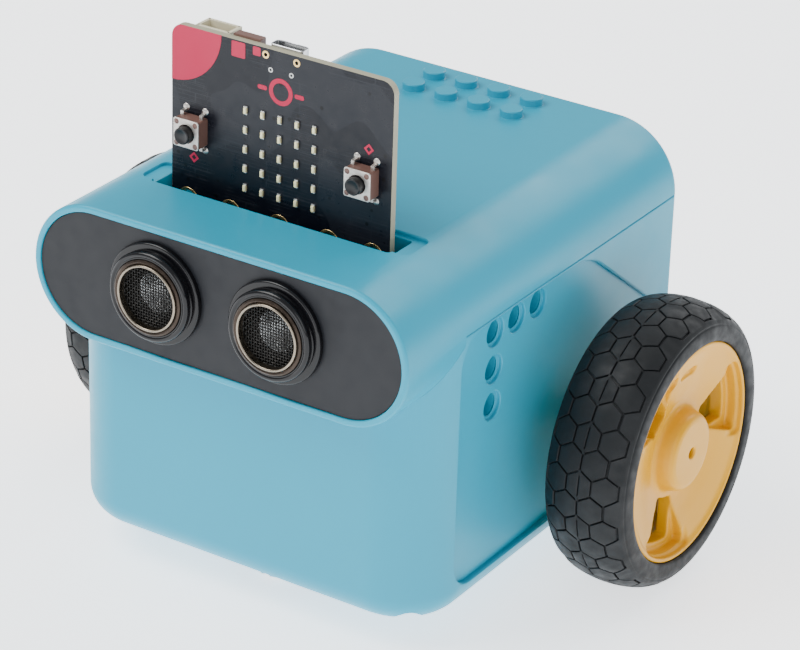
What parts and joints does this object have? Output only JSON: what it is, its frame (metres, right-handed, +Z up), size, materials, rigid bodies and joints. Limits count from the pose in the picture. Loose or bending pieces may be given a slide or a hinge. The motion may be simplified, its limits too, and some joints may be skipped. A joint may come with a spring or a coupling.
{
  "type": "classroom coding robot",
  "caption": "Two-wheeled classroom robot with a rounded box body, a visor with two ultrasonic eyes, an upright plug-in controller board, side pin holes and top studs.",
  "frame": {"origin": "on the floor, under the middle of the whole robot's box", "axes": "+Z up, -Y the way the eyes look, +X towards the wheel that shows in the usual view"},
  "size_m": [0.139, 0.1068, 0.116],
  "materials": {
    "shell": "glossy sky-blue moulded plastic",
    "plate": "fine matte dark grey",
    "bezel": "polished black",
    "can": "dark anodised, turned",
    "mesh": "woven black mesh",
    "horn": "spun",
    "board_blue": "solder mask",
    "board_black": "black solder mask",
    "gold": "gold plated",
    "led": "clear resin",
    "chip": "moulded",
    "switch_metal": "pressed tin plate",
    "black_plastic": "moulded",
    "brown_plastic": "moulded",
    "white_plastic": "moulded nylon",
    "steel": "plated",
    "board_green": "solder mask",
    "cell": "shrink wrap",
    "gear_case": "moulded nylon",
    "hub": "yellow moulded plastic",
    "tyre": "charcoal rubber",
    "shaft": "moulded nylon"
  },
  "bodies": {
    "chassis": {"lower_shell": "shell", "upper_shell": "shell", "front_plate": "plate", "sensor_bezel_right": "bezel", "sensor_bezel_left": "bezel", "transducer_can_right": "can", "transducer_can_left": "can", "transducer_mesh_right": "mesh", "transducer_mesh_left": "mesh", "transducer_horn_right": "horn", "transducer_horn_left": "horn", "ranging_board": "board_blue", "controller_board": "board_black", "board_pads": "gold", "led_matrix": "led", "board_chips": "chip", "button_a_body": "switch_metal", "button_b_body": "switch_metal", "reset_body": "brown_plastic", "usb_socket": "steel", "battery_socket": "white_plastic", "edge_connector": "black_plastic", "main_board": "board_green", "battery_pack": "cell", "battery_cover": "shell", "cover_screws": "steel", "gearbox_right": "gear_case", "gearbox_left": "gear_case", "motor_right": "steel", "motor_left": "steel", "gearbox_screws": "steel", "caster_housing": "shell", "caster_screws": "steel", "line_board": "board_green", "line_sensors": "chip", "switch_body": "steel", "charge_socket": "steel", "case_screws": "steel"},
    "wheel_right": {"axle_right": "shaft", "hub_right": "hub", "tyre_right": "tyre", "hub_screw_right": "steel"},
    "wheel_left": {"axle_left": "shaft", "hub_left": "hub", "tyre_left": "tyre", "hub_screw_left": "steel"},
    "button_a": {"button_a_cap": "black_plastic"},
    "button_b": {"button_b_cap": "black_plastic"},
    "reset_button": {"reset_cap": "white_plastic"},
    "caster": {"caster_ball": "steel"},
    "power_switch": {"switch_slider": "black_plastic"}
  },
  "joints": [
    {"name": "wheel_right_spin", "type": "hinge", "parent": "chassis", "child": "wheel_right", "pos_m": [0.0601, 0.0183, 0.0302], "axis": [1, 0, 0], "continuous": true},
    {"name": "wheel_left_spin", "type": "hinge", "parent": "chassis", "child": "wheel_left", "pos_m": [-0.0601, 0.0183, 0.0302], "axis": [1, 0, 0], "continuous": true},
    {"name": "caster_roll", "type": "hinge", "parent": "chassis", "child": "caster", "pos_m": [0, -0.0267, 0.0048], "axis": [1, 0, 0], "continuous": true},
    {"name": "button_a_press", "type": "slide", "parent": "chassis", "child": "button_a", "axis": [0, 1, 0], "range_m": [0, 0.0003], "stiffness_N_per_m": 1500, "springref_m": -0.0006},
    {"name": "button_b_press", "type": "slide", "parent": "chassis", "child": "button_b", "axis": [0, 1, 0], "range_m": [0, 0.0003], "stiffness_N_per_m": 1500, "springref_m": -0.0006},
    {"name": "reset_press", "type": "slide", "parent": "chassis", "child": "reset_button", "axis": [0, -1, 0], "range_m": [0, 0.00025], "stiffness_N_per_m": 1500, "springref_m": -0.0006},
    {"name": "power_slide", "type": "slide", "parent": "chassis", "child": "power_switch", "axis": [1, 0, 0], "range_m": [0, 0.0034]}
  ]
}
